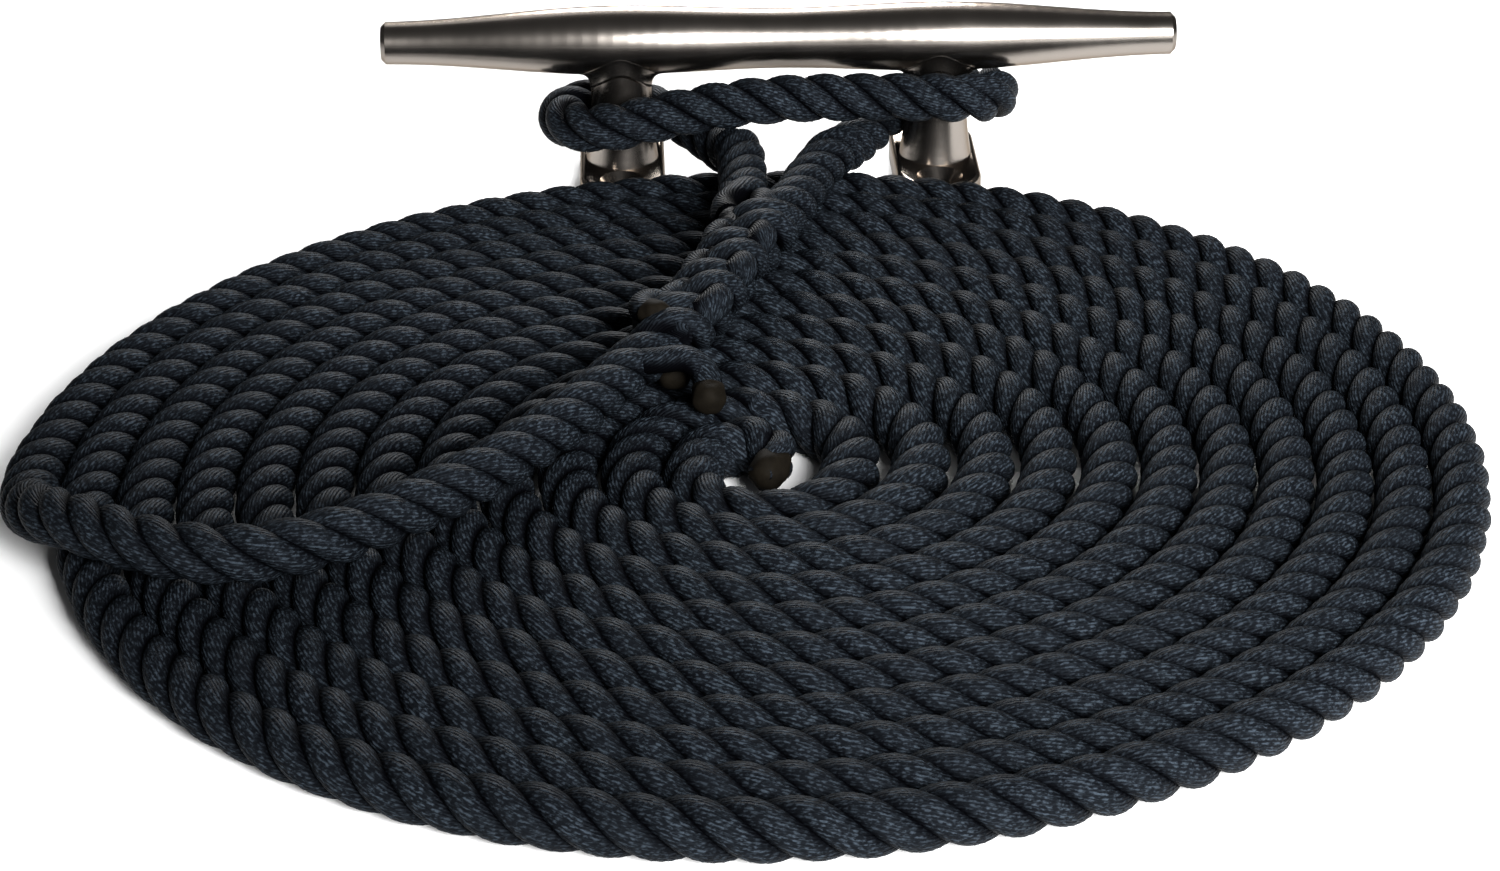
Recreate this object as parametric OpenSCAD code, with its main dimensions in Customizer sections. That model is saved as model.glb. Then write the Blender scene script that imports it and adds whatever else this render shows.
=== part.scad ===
// Coiled dock line. A three-strand nylon line lies flat on a deck in a one-layer
// spiral coil. From the coil's left edge it turns back over the coil as a lead,
// which ends in an eye splice. The eye is passed between the posts of a cast
// two-post cleat and dropped back over both horns, so it holds on both posts.
// Frame: the origin is the centre of the cleat's four deck holes, on the deck.
// +X runs along the horns, +Y away from the coil and +Z up.

/* [Line] */
// Diameter of the line
line_d = 15.5; // [12.5:0.5:19]
// Diameter of one of the line's three strands
strand_d = 7.4; // [6:0.1:9]
// Diameter over the tucks of the splice
splice_d = 21; // [17:0.5:22]
// Diameter of the splice where its tucks run out into the lead
splice_end_d = 17; // [15:0.5:20]

// Diameter of the inner end, which is drawn thinner where it was melted
bitter_d = 13; // [10:0.5:13]

/* [Coil] */
// Number of turns side by side, from the hole to the edge
turns = 11; // [8:1:12]
// Radius of the open middle, where the inner end lies
middle_r = 24; // [20:0.5:29]
// Share of the line's height over which neighbouring turns are one solid
turn_fill = 0.62; // [0.4:0.02:0.9]
// How far the coil's centre lies to the left of the cleat's
coil_left = 12; // [0:1:30]
// Clearance between the coil's back edge and the feet of the cleat
coil_gap = 0.5; // [0.2:0.1:6]

/* [Cleat] */
// Length over both horns
horn_span = 260; // [215:1:320]
// Height of the bar's centre line above the deck
bar_height = 49; // [40:0.5:60]
// Diameter of the bar at its middle
bar_mid_d = 19.6; // [16:0.2:24]
// Diameter of the bar over each post
bar_post_d = 22.6; // [18:0.2:27]
// Diameter at the tips of the horns
horn_tip_d = 14; // [9:0.2:17]
// Distance between the axes of the two posts
post_spacing = 104; // [86:1:126]
// Diameter of a post at its waist
waist_d = 20; // [16:0.5:24]
// Diameter of a post where it meets its foot
post_base_d = 24; // [20:0.5:29]
// Diameter of a post where it runs into the bar
post_top_d = 21; // [17:0.5:21]
// Share of a post's height at which its waist is
waist_share = 0.55; // [0.4:0.05:0.7]
// How far a foot stands out beyond its post on each side
foot_margin = 2; // [1.5:0.25:4]
// Thickness of a foot
foot_h = 8; // [6:0.5:10]
// Rounding along the top edge of a foot
foot_round = 2; // [0.5:0.25:2.5]

/* [Deck holes] */
// Diameter of a hole for an 8 mm countersunk machine screw
hole_d = 8.4; // [6:0.1:10.2]
// Diameter of the countersink at the top of a foot
sink_d = 15; // [12:0.2:18]
// Angle of the countersink
sink_angle = 90; // [82:1:100]
// Metal left between a countersink and the base of its post
post_rim = 0.5; // [0.2:0.1:3]
// Metal left between a countersink and the tip of its foot
toe_rim = 2; // [1.5:0.25:5]

/* [Hidden] */

LINE_COLOR = [0.10, 0.12, 0.15];
SEAL_COLOR = [0.20, 0.17, 0.14];
STEEL_COLOR = [0.78, 0.77, 0.75];

line_r = line_d / 2;
strand_r = strand_d / 2;
coil_r = middle_r + turns * line_d;

// A countersink keeps clear of the post's base, and the toe goes on past it.
hole_pitch = post_base_d + sink_d + 2 * post_rim;
foot_w = post_base_d + 2 * foot_margin;
foot_l = hole_pitch + sink_d + 2 * toe_rim;
sink_h = (sink_d - hole_d) / 2 / tan(sink_angle / 2);
waist_z = foot_h + (bar_height - foot_h) * waist_share;

// Routes of the parts of the line that aren't coiled, each a list of points on
// its centre line. They stay as chosen when a size changes.
BITTER_END = [[-28, -231, 6.6], [-29, -223.5, 6.8], [-26, -216.5, 7.4], [-19.5, -212.8, 8.2],
              [-13, -215.5, 9.2], [-10.8, -222.5, 10], [-12.5, -230.5, 10.5]];
LEAD = [[-208.5, -172, 7.8], [-213, -195, 7.8], [-215, -220, 8.2], [-213.5, -243, 11],
        [-208.5, -261, 17], [-199, -275, 22.5], [-185, -286.5, 23.7], [-168, -295.5, 23.7],
        [-151, -298.5, 23.7], [-134, -293, 23.7], [-116, -280.5, 23.7], [-93, -258, 23.7],
        [-73, -231.5, 23.7], [-58.5, -207, 23.7], [-49, -190.5, 24], [-42, -179.5, 24.5]];
SPLICE = [[-45, -184, 24.4], [-39, -175.5, 25.2], [-32, -163, 26.2], [-23.5, -140, 26.4],
          [-16.5, -120, 26.4], [-9, -104, 26.4], [-6.2, -88, 26.3], [-6, -70, 26.2]];
EYE = [[2.4, -77, 25.2], [6, -62, 24.2], [10.5, -50, 23.8], [14.5, -38.5, 23.7],
       [18.5, -28, 20.5], [26, -9, 17], [34.5, 7.5, 17.4], [39.5, 15, 18.3],
       [49, 19.3, 20.2], [60, 17.5, 23], [69, 9.5, 26.5], [71.8, -4, 30],
       [66.5, -15, 33], [55, -20, 35.2], [40, -20, 35.6], [22, -19.5, 35.6],
       [2, -19, 35.2], [-22, -19.4, 33], [-40, -19.8, 29.6], [-55, -20.4, 26.6],
       [-67, -14.5, 24.4], [-72, -2, 22.8], [-69, 10.5, 21.6], [-59.5, 18.8, 20.2],
       [-47, 19.2, 18.8], [-36, 13.5, 17.6], [-26.5, 0.5, 16.6], [-20, -12, 16.3],
       [-16.6, -21.5, 17.3], [-14.8, -30, 22.2], [-14, -38.5, 23.7], [-14, -50, 23.8],
       [-14.2, -62, 24.2], [-14.4, -77, 25.2]];
TAIL_LEFT = [[-34, -156, 32], [-39.5, -165, 32.2], [-43.5, -174, 30.2]];
TAIL_RIGHT = [[-47, -187, 28.5], [-40, -190, 30], [-33.5, -191.5, 28.5],
              [-29.5, -196, 24.5], [-29, -203, 20.5], [-29.3, -210, 19.6]];
TAIL_UNDER = [[-40, -181, 20], [-37.5, -188, 19.6], [-36.5, -196, 19.5]];

// Point i of a route, or its first or last point where i is past its end.
function at_end(p, i) = p[max(0, min(len(p) - 1, i))];
function unit(v) = v / norm(v);
// Direction of a route at its point i, from the point before to the point after.
function heading(p, i) = unit(at_end(p, i + 1) - at_end(p, i - 1));
// A direction square to heading h, level wherever the route isn't upright.
function side(h) = unit(cross(h, [0, 0, 1]));

// A tube of radii r, one for each point of p, with flat ends. Each side of a
// stretch is two triangles, so its surface is the same however it is read.
module tube(p, r, sides = 10) {
    rings = len(p);
    points = [for (i = [0:rings - 1])
        let (h = heading(p, i), u = side(h), v = cross(u, h))
        for (k = [0:sides - 1])
            p[i] + r[i] * (cos(360 * k / sides) * u + sin(360 * k / sides) * v)];
    walls = [for (i = [0:rings - 2]) for (k = [0:sides - 1])
        let (a = i * sides + k, b = i * sides + (k + 1) % sides)
        for (t = [[a, b, b + sides], [a, b + sides, a + sides]]) t];
    first = [for (k = [sides - 1:-1:0]) k];
    last = [for (k = [0:sides - 1]) (rings - 1) * sides + k];
    polyhedron(points, concat([first], walls, [last]), convexity = 8);
}
function same(r, p) = [for (q = p) r];

// The coil as one solid: its section is a row of turns joined side by side.
module coil() {
    color(LINE_COLOR) translate([-coil_left, -(foot_l / 2 + coil_gap + coil_r), 0])
        rotate_extrude($fn = 180) union() {
            for (i = [0:turns - 1])
                translate([middle_r + (i + 0.5) * line_d, line_r]) circle(d = line_d, $fn = 48);
            translate([middle_r + line_r, line_r * (1 - turn_fill)])
                square([(turns - 1) * line_d, line_d * turn_fill]);
        }
}

module bitter_end() { color(SEAL_COLOR) tube(BITTER_END, same(bitter_d / 2, BITTER_END)); }
module lead() { color(LINE_COLOR) tube(LEAD, same(line_r, LEAD)); }
module eye() { color(LINE_COLOR) tube(EYE, same(line_r, EYE)); }

// The splice grows over its first rings, where the tucks run out.
module splice() {
    taper = 2;
    r = [for (i = [0:len(SPLICE) - 1])
        splice_end_d / 2 + (splice_d - splice_end_d) / 2 * min(1, i / taper)];
    color(LINE_COLOR) tube(SPLICE, r);
}

// The three strands that were tucked, cut off and sealed with heat.
module tail(p) { color(SEAL_COLOR) tube(p, same(strand_r, p), sides = 8); }
module tail_left() { tail(TAIL_LEFT); }
module tail_right() { tail(TAIL_RIGHT); }
module tail_under() { tail(TAIL_UNDER); }

// Radius of the bar at distance x from its middle: it swells in one soft wave
// from the middle to the post and falls in another from the post to the tip.
function wave(t) = (1 - cos(180 * t)) / 2;
function between(d1, d2, t) = (d1 + (d2 - d1) * wave(t)) / 2;
function bar_r(x) = x < post_spacing / 2
    ? between(bar_mid_d, bar_post_d, 2 * x / post_spacing)
    : between(bar_post_d, horn_tip_d, (2 * x - post_spacing) / (horn_span - post_spacing));

module bar() {
    half = horn_span / 2;
    steps = 26;
    tip_round = 1.5;
    right = [for (i = [0:steps]) let (x = (half - tip_round) * i / steps) [bar_r(x), x]];
    left = [for (i = [steps:-1:1]) [right[i][0], -right[i][1]]];
    tip = [[horn_tip_d / 2 - tip_round, half], [0, half]];
    translate([0, 0, bar_height]) rotate([0, 90, 0]) rotate_extrude($fn = 96)
        polygon(concat(right, tip, [for (i = [1:-1:0]) [tip[i][0], -half]], left));
}

// Radius of a post at height z: it narrows from its foot to its waist and widens
// again into the bar, both as parabolas.
function post_r(z) = waist_d / 2 + (z < waist_z
    ? (post_base_d - waist_d) / 2 * pow((waist_z - z) / (waist_z - foot_h), 2)
    : (post_top_d - waist_d) / 2 * pow((z - waist_z) / (bar_height - waist_z), 2));

module post() {
    steps = 14;
    top = bar_height - 1;
    rotate_extrude($fn = 72) polygon(concat([[0, 0], [post_base_d / 2, 0]],
        [for (i = [0:steps]) let (z = foot_h + (top - foot_h) * i / steps) [post_r(z), z]],
        [[0, top]]));
}

// A foot: a bar with round ends, its top edge rounded.
module foot() {
    reach = (foot_l - foot_w) / 2;
    edge = foot_w / 2 - foot_round;
    for (s = [-1, 1]) translate([0, s * reach, 0]) rotate_extrude($fn = 72) half_section(edge);
    rotate([90, 0, 0]) linear_extrude(2 * reach, center = true)
        for (m = [0, 1]) mirror([m, 0]) half_section(edge);
}
module half_section(edge) {
    square([edge, foot_h]);
    square([edge + foot_round, foot_h - foot_round]);
    translate([edge, foot_h - foot_round]) intersection() {
        circle(foot_round, $fn = 48);
        square(foot_round);
    }
}

// A through hole with a countersink that is sink_d wide at the foot's top.
module screw_hole() {
    over = 1;
    skim = 0.01; // keeps the countersink's rim off the foot's top face
    translate([0, 0, -over]) cylinder(d = hole_d, h = foot_h + over, $fn = 48);
    translate([0, 0, foot_h - sink_h])
        cylinder(d1 = hole_d, d2 = sink_d + 2 * skim, h = sink_h + skim, $fn = 48);
}

module cleat() {
    color(STEEL_COLOR) difference() {
        union() {
            bar();
            for (s = [-1, 1]) translate([s * post_spacing / 2, 0, 0]) {
                post();
                foot();
            }
        }
        for (x = [-1, 1]) for (y = [-1, 1])
            translate([x * post_spacing / 2, y * hole_pitch / 2, 0]) screw_hole();
    }
}

cleat();
coil();
bitter_end();
lead();
splice();
eye();
tail_left();
tail_right();
tail_under();
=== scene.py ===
"""A dock line of three-strand nylon, coiled flat beside a stainless deck cleat.

The line is three strands laid round one centre line. The centre line starts at the
sealed inner end, winds outward in the coil, turns back over it as the lead, runs
through the splice and round the eye, and ends where the eye's strands are unlaid
and tucked. Sizes are in millimetres until a mesh is made, and MM turns them to metres.
"""
import math

import bpy
import numpy as np
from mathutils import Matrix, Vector


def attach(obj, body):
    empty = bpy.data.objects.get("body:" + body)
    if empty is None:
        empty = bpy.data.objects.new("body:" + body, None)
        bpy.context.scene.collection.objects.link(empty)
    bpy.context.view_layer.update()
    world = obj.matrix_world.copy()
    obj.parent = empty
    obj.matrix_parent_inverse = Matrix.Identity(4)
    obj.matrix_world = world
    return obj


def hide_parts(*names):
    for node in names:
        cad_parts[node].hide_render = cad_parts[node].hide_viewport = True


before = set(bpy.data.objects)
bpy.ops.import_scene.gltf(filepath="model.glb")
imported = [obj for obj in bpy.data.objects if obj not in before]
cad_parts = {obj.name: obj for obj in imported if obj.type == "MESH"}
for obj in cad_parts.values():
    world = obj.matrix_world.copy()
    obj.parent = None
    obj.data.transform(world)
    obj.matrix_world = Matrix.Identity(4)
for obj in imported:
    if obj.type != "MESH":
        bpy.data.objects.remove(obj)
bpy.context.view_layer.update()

MM = 0.001
TURN = 2 * math.pi

# ---------------------------------------------------------------- camera

CAMERA_PLACE = (-50.8, -1103.1, 465.8)
CAMERA_PITCH = 27.01
CAMERA_HEADING = 2.14
CAMERA_LENS = 86.0


def make_camera():
    """A camera in front of the coil, looking down on it and a little to the right."""
    data = bpy.data.cameras.new("camera")
    data.lens = CAMERA_LENS
    data.sensor_width = 36.0
    data.clip_end = 20.0
    camera = bpy.data.objects.new("camera", data)
    camera.location = Vector(CAMERA_PLACE) * MM
    camera.rotation_euler = (math.radians(90 - CAMERA_PITCH), 0, math.radians(-CAMERA_HEADING))
    bpy.context.collection.objects.link(camera)
    bpy.context.scene.camera = camera


# ---------------------------------------------------------------- the line's sizes

PITCH = 15.5          # from one turn of the coil to the next
LAY = 36.0            # length in which a strand goes once round the line
STRAND_REACH = 4.33   # from the line's centre to a strand's
STRAND_THICK = 3.72   # half of a strand's section, outward from the line's centre
STRAND_WIDE = 4.15    # half of a strand's section, across
STEP = 2.0            # between the points of a route, and the rings of a strand's skin
AROUND = 20           # corners of a ring

# ---------------------------------------------------------------- the line's route

# The inner end lies in the coil's middle and hooks round inside the first turn.
INNER_END = [(-15.2, -233.5, 9.2), (-11.2, -227, 9.8), (-11.8, -219, 9.8), (-18, -213.2, 9),
             (-27, -214.4, 8.3), (-33, -222.5, 8)]
# The lead's first two points lie beside the coil's end, which coil_points makes, so LINE
# takes the lead from its third point on.
LEAD = [(-208.5, -172, 7.8), (-213, -195, 7.8), (-215, -220, 8.2), (-213.5, -243, 11),
        (-208.5, -261, 17), (-199, -275, 22.5), (-185, -286.5, 23.7), (-168, -295.5, 23.7),
        (-151, -298.5, 23.7), (-134, -293, 23.7), (-116, -280.5, 23.7), (-93, -258, 23.7),
        (-73, -231.5, 23.7), (-58.5, -207, 23.7), (-49, -190.5, 24), (-42, -179.5, 24.5)]
# Inside the splice the standing part runs straight on towards the eye's right leg.
STANDING = [(-33, -166, 26.2), (-23.3, -140, 26.4), (-16.5, -120, 26.4), (-7.4, -102, 26.4),
            (-0.4, -84.7, 26)]
EYE = [(2.4, -77, 25.2), (6, -62, 24.2), (10.5, -50, 23.8), (14.5, -38.5, 23.7),
       (18.5, -28, 20.5), (26, -9, 17), (34.5, 7.5, 17.4), (39.5, 15, 18.3),
       (49, 19.3, 20.2), (60, 17.5, 23), (69, 9.5, 26.5), (71.8, -4, 30),
       (66.5, -15, 33), (55, -20, 35.2), (40, -20, 35.6), (22, -19.5, 35.6),
       (2, -19, 35.2), (-22, -19.4, 33), (-40, -19.8, 29.6), (-55, -20.4, 26.6),
       (-67, -14.5, 24.4), (-72, -2, 22.8), (-69, 10.5, 21.6), (-59.5, 18.8, 20.2),
       (-47, 19.2, 18.8), (-36, 13.5, 17.6), (-26.5, 0.5, 16.6), (-20, -12, 16.3),
       (-16.6, -21.5, 17.3), (-14.8, -30, 22.2), (-14, -38.5, 23.7), (-14, -50, 23.8),
       (-14.2, -62, 24.2), (-14.4, -77, 25.2)]
# The unlaid strands' way from the left leg down along the standing part.
TUCKED = [(-14.2, -90, 26.2), (-14.4, -103, 26.4), (-17.2, -120, 26.4), (-23.4, -140, 26.4),
          (-33, -166, 26.2), (-42, -179.5, 24.8)]
TAIL_LEFT = [(-37.5, -161, 28), (-44.5, -163.5, 30.5), (-46.8, -170, 31.6), (-41, -177.5, 31.2)]
TAIL_RIGHT = [(-53, -193, 25), (-43.6, -196, 27.2), (-34, -195.5, 27),
              (-29.8, -198, 24.5), (-28.9, -203.5, 21.2), (-29.1, -208.5, 19.4)]
TAIL_UNDER = [(-40, -181, 20), (-38.5, -187, 20), (-38, -192, 20)]

COIL_CENTRE = (-14.0, -224.0)
COIL_LIE = 7.95       # height of the line's centre where it lies on the deck
TURN_POINTS = 40      # points in a turn
FIRST_TURN = -0.42
LAST_TURN = 10.47
TENTH_R = 12.234      # radius at turn 10, in pitches
DRAWN_IN = 0.559      # how far the first turn is drawn in, in pitches
FRONT_OUT = 0.66      # how much less it is drawn in at the front
DRAWN_TURNS = 2.44    # turns in which the drawing in falls to a third
STRETCH = 0.332       # how far turn 10 is stretched along the slant, in pitches
SLANT = 25.4          # of that stretch, in degrees from the right side
DRIFT = 0.109         # how far the first turn lies to the left, in pitches


def coil_points():
    """Radius is TENTH_R at turn 10 and one pitch less for each turn inward. The first
    turns are drawn in, except in front, and lie a little to the left. All of them are
    stretched along one slant, the outer ones most."""
    turn = np.linspace(FIRST_TURN, LAST_TURN, int((LAST_TURN - FIRST_TURN) * TURN_POINTS))
    angle = TURN * turn
    front = np.maximum(-np.sin(angle), 0) ** 2
    drawn = (DRAWN_IN - FRONT_OUT * front) * np.exp(-np.maximum(turn, -0.5) / DRAWN_TURNS)
    radius = TENTH_R + (turn - 10) - drawn
    radius += STRETCH * np.clip(turn / 10, 0, 1.1) * np.cos(2 * (angle - math.radians(SLANT)))
    drift = -DRIFT * np.exp(-turn / 2)
    x = COIL_CENTRE[0] + PITCH * (radius * np.cos(angle) + drift)
    y = COIL_CENTRE[1] + PITCH * radius * np.sin(angle)
    return np.stack([x, y, np.full_like(x, COIL_LIE)], 1)


def lengths(path):
    """The length along a path up to each of its points."""
    return np.concatenate([[0.0], np.cumsum(np.linalg.norm(np.diff(path, axis=0), axis=1))])


def even(path, step):
    """The same path with its points at equal steps of length."""
    along = lengths(path)
    at = np.linspace(0.0, along[-1], max(2, round(along[-1] / step) + 1))
    return np.stack([np.interp(at, along, path[:, axis]) for axis in range(3)], 1)


def follow(points, step=STEP):
    """A smooth path through points: between two of them a Hermite cubic, whose slope at
    each point is the one its neighbours give. It is read off at equal steps."""
    p = np.asarray(points, float)
    knot = lengths(p)
    slope = np.gradient(p, knot, axis=0)
    at = np.linspace(0.0, knot[-1], int(knot[-1] / (0.3 * step)) + 2)
    i = np.clip(np.searchsorted(knot, at, side="right") - 1, 0, len(knot) - 2)
    span = (knot[i + 1] - knot[i])[:, None]
    t = (at - knot[i])[:, None] / span
    path = (1 + 2 * t) * (1 - t) ** 2 * p[i] + t * (1 - t) ** 2 * span * slope[i]
    path += t * t * (3 - 2 * t) * p[i + 1] - t * t * (1 - t) * span * slope[i + 1]
    return even(path, step)


def soften(path, reach):
    """A path with each point replaced by a bell-shaped average of its neighbours. Past
    its ends the path goes on as its own reflection, so the ends stay where they are."""
    n = int(3 * reach / STEP)
    bell = np.exp(-0.5 * (np.arange(-n, n + 1) * STEP / reach) ** 2)
    bell /= bell.sum()
    longer = np.concatenate([2 * path[0] - path[n:0:-1], path, 2 * path[-1] - path[-2:-n - 2:-1]])
    return np.stack([np.convolve(longer[:, axis], bell, "valid") for axis in range(3)], 1)


def directions(path):
    """Along the path, level to its left, and square to both (up, where the path is level)."""
    ahead = np.gradient(path, axis=0)
    ahead /= np.linalg.norm(ahead, axis=1, keepdims=True)
    left = np.cross([0.0, 0.0, 1.0], ahead)
    left /= np.linalg.norm(left, axis=1, keepdims=True)
    return ahead, left, np.cross(ahead, left)


def smooth_step(x, low, high):
    """0 up to low, 1 from high on, and a soft S between them."""
    t = np.clip((x - low) / (high - low), 0, 1)
    return t * t * (3 - 2 * t)


def round_the(path, angle, reach):
    """Points beside a path, at an angle from its left side and a distance from it."""
    _, left, up = directions(path)
    return path + reach[:, None] * (np.cos(angle)[:, None] * left + np.sin(angle)[:, None] * up)


LINE_SOFTNESS = 4.0   # reach of the bell that rounds the line's route
LINE = soften(even(np.concatenate([follow(INNER_END), coil_points(),
                                   follow(LEAD[2:] + STANDING + EYE)]), STEP), LINE_SOFTNESS)


def nearest_on(path, points):
    """For each of points, the index of the path's point that is nearest to it."""
    gap = np.linalg.norm(points[:, None, :] - path[None, :, :], axis=2)
    return gap.argmin(axis=1)


# ---------------------------------------------------------------- the three strands

SPLICE_MIDDLE = 6.2   # how far both sets of strands lie from the splice's centre
SPLICE_WAVE = 2.0     # how far they swing in and out as they pass over and under
LONG_WAVE = (0.35, 310.0)     # a slow swing of the lay: its size, and its length by TURN
SHORT_WAVE = (0.2, 127.0)
TUCK_ANGLE = 0.6      # where one of the tucked strands lies, from the left side upward
TUCK_SWELL = 1.16     # a tucked strand lies looser than a laid one
SWELL_IN = 14         # length in which the standing strands make room for the tucks
SWELL_OUT = (30, 6)   # how far before the eye that room starts to close, and is closed
UNLAID = (-8, 26)     # where the unlaying of the eye's strands starts and ends, from the throat
SETTLED = 8.0         # where their angle is read that the tucks keep, from the throat
TUCK_SOFTNESS = 3.0   # reach of the bell that rounds the tucks' route
STRAND_SOFTNESS = 1.6
FIRST_BEND = 110      # points of the line from its inner end round its first turn
LAY_MIDDLE = 0.42     # reach of the bell that finds a strand's middle, in lays


def lay_angle(along):
    """Angle of the first strand round the line: one turn in each LAY, and two slow waves
    that make the lay a little looser here and tighter there, as a used line's is."""
    return (TURN * along / LAY + LONG_WAVE[0] * np.sin(along / LONG_WAVE[1])
            + SHORT_WAVE[0] * np.sin(along / SHORT_WAVE[1] + 1.0))


def standing_range():
    """First and last index of the line's stretch inside the splice."""
    ends = nearest_on(LINE[len(LINE) // 2:], np.array([LEAD[-2], EYE[0]], float)) + len(LINE) // 2
    return int(ends[0]), int(ends[1])


def strand_paths():
    """The three strands' centre lines, from the inner end to the ends of their tucks.
    Round the line each keeps its reach and turns once in a lay. In the splice, standing
    and tucked strands swing in and out in opposite phase, so each lies over one and
    under the next."""
    along = lengths(LINE)
    first, last = standing_range()
    low, high = along[first], along[last]
    run = soften(follow(EYE[-3:] + TUCKED), TUCK_SOFTNESS)
    beside = nearest_on(LINE[first:last + 1], run) + first
    run_along = lengths(run)
    throat = run_along[nearest_on(run, np.array([EYE[-1]], float))[0]]

    def phase(at):
        """How many of the standing strands have turned past a tucked one."""
        return 1.5 * (lay_angle(at) - (math.pi - TUCK_ANGLE)) / math.pi

    inside = smooth_step(along, low, low + SWELL_IN)
    inside *= 1 - smooth_step(along, high - SWELL_OUT[0], high - SWELL_OUT[1])
    wave = np.cos(math.pi * phase(along))
    reach = STRAND_REACH + inside * (SPLICE_MIDDLE - STRAND_REACH + SPLICE_WAVE * wave)
    reach *= fullness(along)

    end_angle = lay_angle(along[-1])
    unlaid = smooth_step(run_along, throat + UNLAID[0], throat + UNLAID[1])
    still_laid = end_angle + TURN * (run_along - throat) / LAY
    settled = end_angle + TURN * SETTLED / LAY
    tuck_wave = -np.cos(math.pi * phase(along[beside]))
    tuck_reach = STRAND_REACH + unlaid * (SPLICE_MIDDLE - STRAND_REACH + SPLICE_WAVE * tuck_wave)
    paths = []
    start = nearest_on(run, LINE[-1:])[0] + 1
    turn_to = np.round((settled - TUCK_ANGLE) / (TURN / 3)) * (TURN / 3) + TUCK_ANGLE
    for k in range(3):
        laid = round_the(LINE, lay_angle(along) + TURN * k / 3, reach)
        angle = (1 - unlaid) * still_laid + unlaid * turn_to + TURN * k / 3
        tucked = round_the(run, angle, tuck_reach)[start:]
        paths.append(soften(even(np.concatenate([laid, tucked]), STEP), STRAND_SOFTNESS))
    return paths


def outward_from(path):
    """For a strand, the direction away from the line it is laid round, made square to the
    strand. The line's centre is taken as the middle of a lay's length of the strand,
    except in the tight first turn, where it is the nearest point of the line."""
    middle = soften(path, LAY * LAY_MIDDLE)
    middle[:FIRST_BEND] = LINE[nearest_on(LINE[:FIRST_BEND], path[:FIRST_BEND])]
    ahead, _, up = directions(path)
    out = path - middle
    out -= np.sum(out * ahead, axis=1, keepdims=True) * ahead
    size = np.linalg.norm(out, axis=1, keepdims=True)
    return ahead, np.where(size > 0.3, out / np.maximum(size, 1e-6), up)


# ---------------------------------------------------------------- meshes

def new_piece(name, mesh, material):
    """An object at the origin that shows a mesh."""
    piece = bpy.data.objects.new(name, mesh)
    piece.data.materials.append(material)
    bpy.context.collection.objects.link(piece)
    return piece


def grid_mesh(name, rings, wrap_u, wrap_v):
    """A closed skin over rings, an array of rings by corners by 3, in millimetres. Each
    ring is joined to the next by four-sided faces, and the first and last are filled.
    The two UV values of each corner come from wrap_u and wrap_v, which have one more
    corner in each ring, so that the pattern meets itself."""
    count, corners = rings.shape[:2]
    i = np.arange(count - 1)[:, None]
    j = np.arange(corners)[None, :]
    k = (j + 1) % corners
    quads = np.stack([i * corners + j, i * corners + k, (i + 1) * corners + k,
                      (i + 1) * corners + j], 2).reshape(-1)
    first = np.arange(corners)[::-1]
    last = (count - 1) * corners + np.arange(corners)
    loops = np.concatenate([quads, first, last])
    starts = np.concatenate([np.arange(0, len(quads), 4), [len(quads), len(quads) + corners]])
    mesh = bpy.data.meshes.new(name)
    mesh.vertices.add(count * corners)
    mesh.vertices.foreach_set("co", (rings * MM).astype(np.float32).reshape(-1))
    mesh.loops.add(len(loops))
    mesh.loops.foreach_set("vertex_index", loops.astype(np.int32))
    mesh.polygons.add(len(starts))
    mesh.polygons.foreach_set("loop_start", starts.astype(np.int32))
    mesh.update(calc_edges=True)
    mesh.polygons.foreach_set("use_smooth", np.ones(len(starts), bool))
    uv = np.stack([wrap_u, wrap_v], 2)
    corner = np.stack([uv[:-1, :-1], uv[:-1, 1:], uv[1:, 1:], uv[1:, :-1]], 2).reshape(-1, 2)
    ends = np.concatenate([uv[0, :-1][::-1], uv[-1, :-1]])
    layer = mesh.uv_layers.new(name="yarn")
    layer.data.foreach_set("uv", np.concatenate([corner, ends]).astype(np.float32).reshape(-1))
    return mesh


YARNS = 24            # yarns that show round a strand
YARN_TURN = 34.0      # length of strand in which a yarn goes once round it
DASH = 1.7            # length of a painted highlight dash on a yarn
ON_DECK = 0.05        # height of the lowest yarns, which the deck presses flat
LOOSE = 0.07          # how much fuller a strand is in the tight first turns
LOOSE_FROM_TO = (350, 900)    # where that looseness starts to fall, and is gone
MELTED_SIZE = 0.5     # size of a strand's section where it was melted
MELTED_LENGTH = 20    # length in which it grows from there to its full size


def fullness(along):
    """Size of a strand's section along it: it grows from the narrow melted end, and it is
    a little loose in the tight first turns."""
    loose = 1 + LOOSE * (1 - smooth_step(along, *LOOSE_FROM_TO))
    return (MELTED_SIZE + (1 - MELTED_SIZE) * smooth_step(along, 0, MELTED_LENGTH)) * loose


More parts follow.
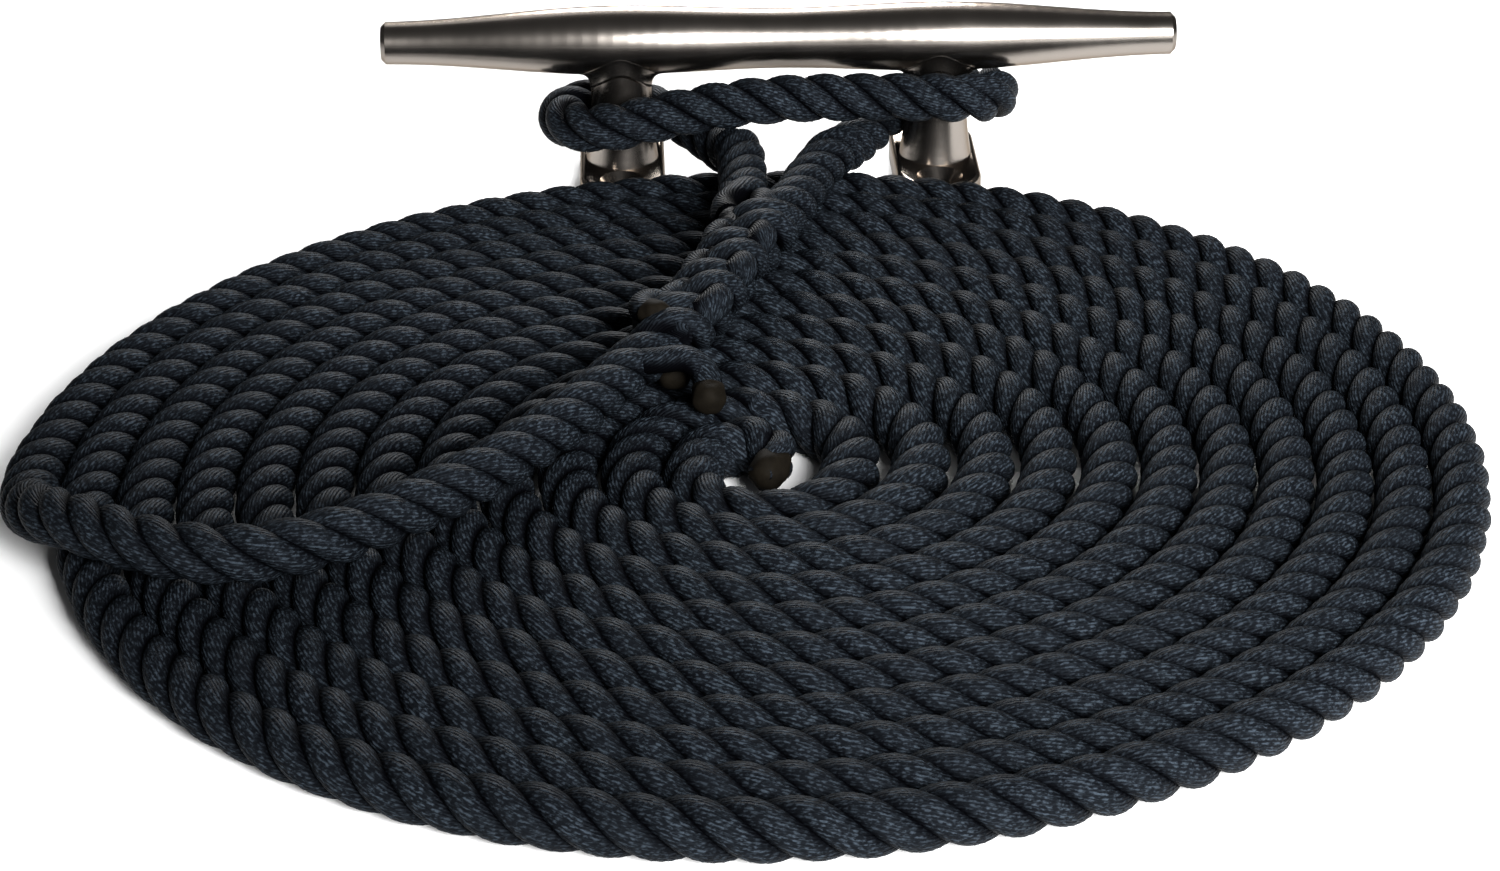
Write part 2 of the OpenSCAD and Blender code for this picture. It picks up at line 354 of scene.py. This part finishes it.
def strand_skin(name, path, ahead, out, swell, along):
    """An oval ring square to the strand at each point of its path: STRAND_THICK from its
    middle outward and STRAND_WIDE across, times swell, and no lower than ON_DECK. U counts
    yarns, which turn against the strand, and V is the length in millimetres. The value
    crown is 1 where the strand faces away from the line and -1 where it faces the line."""
    across = np.cross(ahead, out)
    beta = np.linspace(-math.pi, math.pi, AROUND + 1)
    c = np.cos(beta[:-1])[None, :, None]
    s = np.sin(beta[:-1])[None, :, None]
    size = swell[:, None, None]
    rings = path[:, None, :] + size * (STRAND_THICK * c * out[:, None, :]
                                       + STRAND_WIDE * s * across[:, None, :])
    rings[:, :, 2] = np.maximum(rings[:, :, 2], ON_DECK)
    along = along[:, None]
    u = YARNS * (beta[None, :] / TURN + along / YARN_TURN)
    v = np.broadcast_to(along, u.shape)
    mesh = grid_mesh(name, rings, u, v)
    # The material paints shade into the grooves between the strands from crown.
    crown = mesh.attributes.new("crown", "FLOAT", "POINT")
    crown.data.foreach_set("value", np.tile(np.cos(beta[:-1]), len(path)).astype(np.float32))
    return mesh


TIP_LENGTH = 7        # points of a tail, 1 mm apart, that its melted tip covers
TIP_OVERLAP = 3       # points of its strand that end inside the tip
TIP_R = 4.75
INNER_TIP_LENGTH = 5  # steps of the line that the inner end's melted tip covers
INNER_TIP_R = 5.2
DOME = 0.35           # how far a tip's dome stands out, as a share of its radius
TIP_START = 0.93      # size of a melted tip where it starts
TIP_SWELL = 0.09      # how much larger it is in the middle
THREE_LUMPS = 0.05    # height of the waves that go round a tip three times
FIVE_LUMPS = 0.03     # and of those that go round it five times
TIP_STEP = 0.35


def sealed_skin(name, path, radius, corners=28):
    """A round skin along path that swells in the middle and closes in a dome past its
    end, as the root of 1 - t^6 does. Waves round it and along it make the lumps of
    melted yarn."""
    past_end = path[-1] + DOME * radius * directions(path)[0][-1]
    longer = follow(np.concatenate([path, [past_end]]), TIP_STEP)
    ahead, left, up = directions(longer)
    t = np.linspace(0, 1, len(longer))
    swelling = radius * (TIP_START + TIP_SWELL * np.sin(math.pi * t))
    reach = swelling * np.sqrt(1 - np.clip(t, 0, 0.9999) ** 6)
    beta = np.linspace(0, TURN, corners + 1)
    lumps = 1 + THREE_LUMPS * np.sin(3 * beta[None, :-1] + 5 * t[:, None])
    lumps += FIVE_LUMPS * np.sin(5 * beta[None, :-1] - 9 * t[:, None])
    size = (reach[:, None] * lumps)[:, :, None]
    rings = longer[:, None, :] + size * (np.cos(beta[:-1])[None, :, None] * left[:, None, :]
                                         + np.sin(beta[:-1])[None, :, None] * up[:, None, :])
    shape = (len(t), corners + 1)
    return grid_mesh(name, rings, np.broadcast_to(beta[None, :] / TURN, shape),
                     np.broadcast_to(t[:, None], shape))


# ---------------------------------------------------------------- the cleat's fillets

BAR_HEIGHT = 49.0     # of the bar's middle above the deck
POST_PLACE = 52.0     # of a post's middle, from the bar's
HALF_SPAN = 130.0     # from the bar's middle to a horn's tip
BAR_MIDDLE_R = 9.8    # radius of the bar in its middle
BAR_POST_R = 11.3     # its radius over a post
HORN_TIP_R = 7.0      # its radius at a horn's tip
POST_R = 10.25        # of a post near the bar
FILLET = 4.5
FILLET_REACH = 0.97   # of the bar's radius, the most that a fillet climbs its side
IN_POST = 0.9         # size of the ring that is sunk in the post
IN_BAR = 0.94         # size of the ring that is sunk in the bar
IN_BAR_DEEP = 1.5     # how far that ring lies above the fillet's edge


def bar_radius(x):
    """Radius of the bar at x from its middle: half a cosine wave from the middle to the
    post, and another from the post to the tip."""
    x = np.abs(x)
    inner = (1 - np.cos(math.pi * np.clip(x / POST_PLACE, 0, 1))) / 2
    outer = (1 - np.cos(math.pi * np.clip((x - POST_PLACE) / (HALF_SPAN - POST_PLACE), 0, 1))) / 2
    return (BAR_MIDDLE_R + (BAR_POST_R - BAR_MIDDLE_R) * inner
            + (HORN_TIP_R - BAR_POST_R) * outer)


def under_bar(x, y):
    """Height of the bar's underside above the point x, y."""
    return BAR_HEIGHT - np.sqrt(np.maximum(bar_radius(x) ** 2 - y ** 2, 0))


def fillet_rings(middle, corners=64, rows=9):
    """Rings of the hollow curve from a post to the bar. At each angle round the post it is
    a parabola from FILLET below the bar to FILLET out along the bar, whose two tangents
    meet where post and bar do. The first and last rings are sunk in the metal."""
    phi = np.linspace(0, TURN, corners, endpoint=False)
    near_x = middle + POST_R * np.cos(phi)
    near_y = POST_R * np.sin(phi)
    far_x = middle + (POST_R + FILLET) * np.cos(phi)
    far_y = np.sin(phi) * min(POST_R + FILLET, FILLET_REACH * BAR_POST_R)
    corner = np.stack([near_x, near_y, under_bar(near_x, near_y)], 1)
    low = corner - [0, 0, FILLET]
    high = np.stack([far_x, far_y, under_bar(far_x, far_y)], 1)
    t = np.linspace(0, 1, rows)[:, None, None]
    curve = (1 - t) ** 2 * low + 2 * t * (1 - t) * corner + t * t * high
    in_post = np.stack([middle + IN_POST * (near_x - middle), IN_POST * near_y, low[:, 2]], 1)
    in_bar = np.stack([middle + IN_BAR * (far_x - middle), IN_BAR * far_y,
                       high[:, 2] + IN_BAR_DEEP], 1)
    return np.concatenate([in_post[None], curve, in_bar[None]])


# ---------------------------------------------------------------- materials

def colour(code):
    """An sRGB hex code as a linear colour."""
    value = np.array([int(code[i:i + 2], 16) for i in (1, 3, 5)]) / 255
    linear = np.where(value <= 0.04045, value / 12.92, ((value + 0.055) / 1.055) ** 2.4)
    return (*linear, 1.0)


def add(tree, kind, settings=(), **links):
    """A node of that kind with its settings, and links from other nodes' sockets to the
    inputs that are named, with _ for a space."""
    node = tree.nodes.new("ShaderNode" + kind)
    for key, value in dict(settings).items():
        if isinstance(key, str) and hasattr(node, key):
            setattr(node, key, value)
        else:
            node.inputs[key].default_value = value
    for key, socket in links.items():
        tree.links.new(socket, node.inputs[key.replace("_", " ")])
    return node


def new_material(name):
    """An empty material with its output, and its node tree."""
    material = bpy.data.materials.new(name)
    material.use_nodes = True
    tree = material.node_tree
    tree.nodes.clear()
    tree.nodes.new("ShaderNodeOutputMaterial")
    return material, tree


def finish_material(tree, shader):
    """Show the shader on the material's surface."""
    tree.links.new(shader.outputs[0], tree.nodes["Material Output"].inputs["Surface"])


def nylon_line():
    """Dyed nylon filament yarns, twisted and laid: almost black, a little blue, and dull.
    Each yarn is a low ridge, and the short dashes where its filaments catch the light are painted
    highlights, a lighter colour on the ridge's top."""
    material, tree = new_material("dyed_nylon_yarn")
    uv = add(tree, "UVMap", {"uv_map": "yarn"})
    split = add(tree, "SeparateXYZ", Vector=uv.outputs[0])
    half_turn = add(tree, "Math", {"operation": "MULTIPLY", 1: math.pi})
    tree.links.new(split.outputs["X"], half_turn.inputs[0])
    sine = add(tree, "Math", {"operation": "SINE"})
    tree.links.new(half_turn.outputs[0], sine.inputs[0])
    ridge = add(tree, "Math", {"operation": "ABSOLUTE"})
    tree.links.new(sine.outputs[0], ridge.inputs[0])
    # Painted highlight: lighter dashes, one yarn wide and DASH long, slant a little across the yarn.
    slanted = add(tree, "Mapping", {"Scale": (1.0, 1 / DASH, 1.0), "Rotation": (0, 0, 0.2)},
                  Vector=uv.outputs[0])
    dash = add(tree, "TexNoise", {"Scale": 1.15, "Detail": 2.5, "Roughness": 0.65},
               Vector=slanted.outputs[0])
    broad = add(tree, "Mapping", {"Scale": (0.07, 0.02, 1.0)}, Vector=uv.outputs[0])
    fade = add(tree, "TexNoise", {"Scale": 1.0, "Detail": 3.0}, Vector=broad.outputs[0])
    lit = add(tree, "MapRange", {"From Min": 0.47, "From Max": 0.62}, Value=dash.outputs["Fac"])
    painted_dash_highlight = add(tree, "Math", {"operation": "MULTIPLY"})
    tree.links.new(lit.outputs[0], painted_dash_highlight.inputs[0])
    tree.links.new(ridge.outputs[0], painted_dash_highlight.inputs[1])
    # Painted highlight: the lit dashes on the yarns' tops are a lighter base colour, not light.
    yarn = add(tree, "Mix", {"data_type": "RGBA", 6: colour("#0a0c0f"), 7: colour("#2c333a")})
    tree.links.new(painted_dash_highlight.outputs[0], yarn.inputs[0])
    worn = add(tree, "Mix", {"data_type": "RGBA", 7: colour("#0d0f12")})
    tree.links.new(yarn.outputs[2], worn.inputs[6])
    worn_by = add(tree, "MapRange", {"From Min": 0.42, "From Max": 0.75, "To Max": 0.5},
                  Value=fade.outputs["Fac"])
    tree.links.new(worn_by.outputs[0], worn.inputs[0])
    height = add(tree, "Math", {"operation": "MULTIPLY_ADD", 1: 0.8})
    tree.links.new(dash.outputs["Fac"], height.inputs[0])
    tree.links.new(ridge.outputs[0], height.inputs[2])
    bump = add(tree, "Bump", {"Strength": 0.5, "Distance": 0.0003}, Height=height.outputs[0])
    # Painted shade: the grooves between the strands, where the strands shade each other, are painted
    # almost black.
    crown = add(tree, "Attribute", {"attribute_name": "crown"})
    painted_groove_shade = add(tree, "MapRange", {"interpolation_type": "SMOOTHSTEP"},
                 Value=crown.outputs["Fac"])
    shown = add(tree, "Mix", {"data_type": "RGBA", 6: colour("#020203")})
    tree.links.new(worn.outputs[2], shown.inputs[7])
    tree.links.new(painted_groove_shade.outputs[0], shown.inputs[0])
    shader = add(tree, "BsdfPrincipled",
                 {"Roughness": 0.5, "IOR": 1.53, "Specular IOR Level": 0.015,
                  "Specular Tint": colour("#cfe2f5")},
                 Base_Color=shown.outputs[2], Normal=bump.outputs[0])
    finish_material(tree, shader)
    return material


def sealed_nylon():
    """Nylon melted with a hot knife: it runs together, hardens dull and scorches brown."""
    material, tree = new_material("melted_nylon")
    spot = add(tree, "TexCoord")
    noise = add(tree, "TexNoise", {"Scale": 350.0, "Detail": 3.0}, Vector=spot.outputs["Object"])
    tone = add(tree, "Mix", {"data_type": "RGBA", 6: colour("#050403"), 7: colour("#120f0a")})
    tree.links.new(noise.outputs["Fac"], tone.inputs[0])
    bump = add(tree, "Bump", {"Strength": 0.5, "Distance": 0.0004}, Height=noise.outputs["Fac"])
    shader = add(tree, "BsdfPrincipled", {"Roughness": 0.75, "IOR": 1.53, "Specular IOR Level": 0.03},
                 Base_Color=tone.outputs[2], Normal=bump.outputs[0])
    finish_material(tree, shader)
    return material


def polished_stainless():
    """Cast stainless, ground and polished: a warm, dark mirror, blurred by its buffing."""
    material, tree = new_material("polished_stainless_casting")
    spot = add(tree, "TexCoord")
    noise = add(tree, "TexNoise", {"Scale": 60.0, "Detail": 2.0}, Vector=spot.outputs["Object"])
    rough = add(tree, "MapRange", {"To Min": 0.18, "To Max": 0.28}, Value=noise.outputs["Fac"])
    shader = add(tree, "BsdfPrincipled", {"Base Color": colour("#86807a"), "Metallic": 1.0,
                                         "Specular Tint": colour("#b0a8a0")},
                 Roughness=rough.outputs[0])
    finish_material(tree, shader)
    return material


def pale_floor():
    """Plain pale paper, which shows only soft shadows."""
    material, tree = new_material("pale_paper")
    shader = add(tree, "BsdfPrincipled", {"Base Color": colour("#fafafa"), "Roughness": 0.9})
    finish_material(tree, shader)
    return material


# ---------------------------------------------------------------- making

make_camera()
NYLON = nylon_line()
SEALED = sealed_nylon()

NEAR_THROAT = 200     # points at a strand's end among which the throat is
strands = []
tucks = []
for number, strand_path in enumerate(strand_paths(), 1):
    ahead, out = outward_from(strand_path)
    along = lengths(strand_path)
    throat = len(strand_path) - NEAR_THROAT
    throat += int(nearest_on(strand_path[-NEAR_THROAT:], LINE[-1:])[0])
    # Up to the throat of the eye a strand is laid in the line, and from there it is tucked.
    for word, group, stretch, size in (("strand", strands, slice(0, throat + 1), 1.0),
                                       ("tucked_strand", tucks, slice(throat, None), TUCK_SWELL)):
        mesh = strand_skin(f"{word}_{number}", strand_path[stretch], ahead[stretch], out[stretch],
                           size * fullness(along)[stretch], along[stretch])
        piece = new_piece(f"{word}_{number}", mesh, NYLON)
        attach(piece, "root")
        group.append(piece)

tips = []
for side, route in (("left", TAIL_LEFT), ("right", TAIL_RIGHT), ("under", TAIL_UNDER)):
    path = follow(route, 1.0)
    ahead, _, up = directions(path)
    shown = slice(0, TIP_OVERLAP - TIP_LENGTH)
    mesh = strand_skin(f"strand_tail_{side}", path[shown], ahead[shown], up[shown],
                       np.ones(len(path[shown])), lengths(path)[shown])
    tail = new_piece(f"strand_tail_{side}", mesh, NYLON)
    tip_mesh = sealed_skin(f"sealed_tip_{side}", path[-TIP_LENGTH:], TIP_R)
    tip = new_piece(f"sealed_tip_{side}", tip_mesh, SEALED)
    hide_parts(f"tail_{side}")
    tips += [tail, tip]
inner_tip_mesh = sealed_skin("sealed_inner_end", LINE[INNER_TIP_LENGTH::-1], INNER_TIP_R)
inner_tip = new_piece("sealed_inner_end", inner_tip_mesh, SEALED)
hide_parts("bitter_end")
for piece in tips + [inner_tip]:
    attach(piece, "root")

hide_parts("coil", "lead", "eye")
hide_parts("splice")

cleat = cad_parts["cleat"]
cleat.data.materials.clear()
STAINLESS = polished_stainless()
cleat.data.materials.append(STAINLESS)
for side, middle in (("left", -POST_PLACE), ("right", POST_PLACE)):
    rings = fillet_rings(middle)
    no_yarn = np.zeros((rings.shape[0], rings.shape[1] + 1))
    mesh = grid_mesh(f"post_fillet_{side}", rings, no_yarn, no_yarn)
    piece = new_piece(f"post_fillet_{side}", mesh, STAINLESS)
    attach(piece, "root")

FLOOR = 8             # half of the floor's side, in metres
corners = [(-FLOOR, -FLOOR, 0), (FLOOR, -FLOOR, 0), (FLOOR, FLOOR, 0), (-FLOOR, FLOOR, 0)]
floor_mesh = bpy.data.meshes.new("floor")
floor_mesh.from_pydata(corners, [], [(0, 1, 2, 3)])
floor = new_piece("floor", floor_mesh, pale_floor())


def area_light(name, place, aim, size, watts, spread):
    """A soft square light that faces aim and lights a cone of spread degrees. Places and
    size are in metres."""
    data = bpy.data.lights.new(name, "AREA")
    data.size = size
    data.energy = watts
    data.spread = math.radians(spread)
    light = bpy.data.objects.new(name, data)
    light.location = place
    light.rotation_euler = (Vector(aim) - Vector(place)).to_track_quat("-Z", "Y").to_euler()
    bpy.context.collection.objects.link(light)


area_light("front", (0.5, -1.35, 0.62), (0.22, -0.2, 0.0), 0.7, 13, 60)
area_light("back", (-0.25, 1.2, 0.9), (-0.15, 0.1, 0), 1.2, 2.4, 120)
area_light("low_back", (0.0, 0.6, 0.35), (0, 0.03, 0), 0.25, 1.0, 60)
world = bpy.data.worlds.new("studio")
bpy.context.scene.world = world
world.use_nodes = True
world.node_tree.nodes["Background"].inputs["Color"].default_value = (1, 1, 1, 1)
world.node_tree.nodes["Background"].inputs["Strength"].default_value = 0.07
bpy.context.scene.view_settings.view_transform = "Standard"
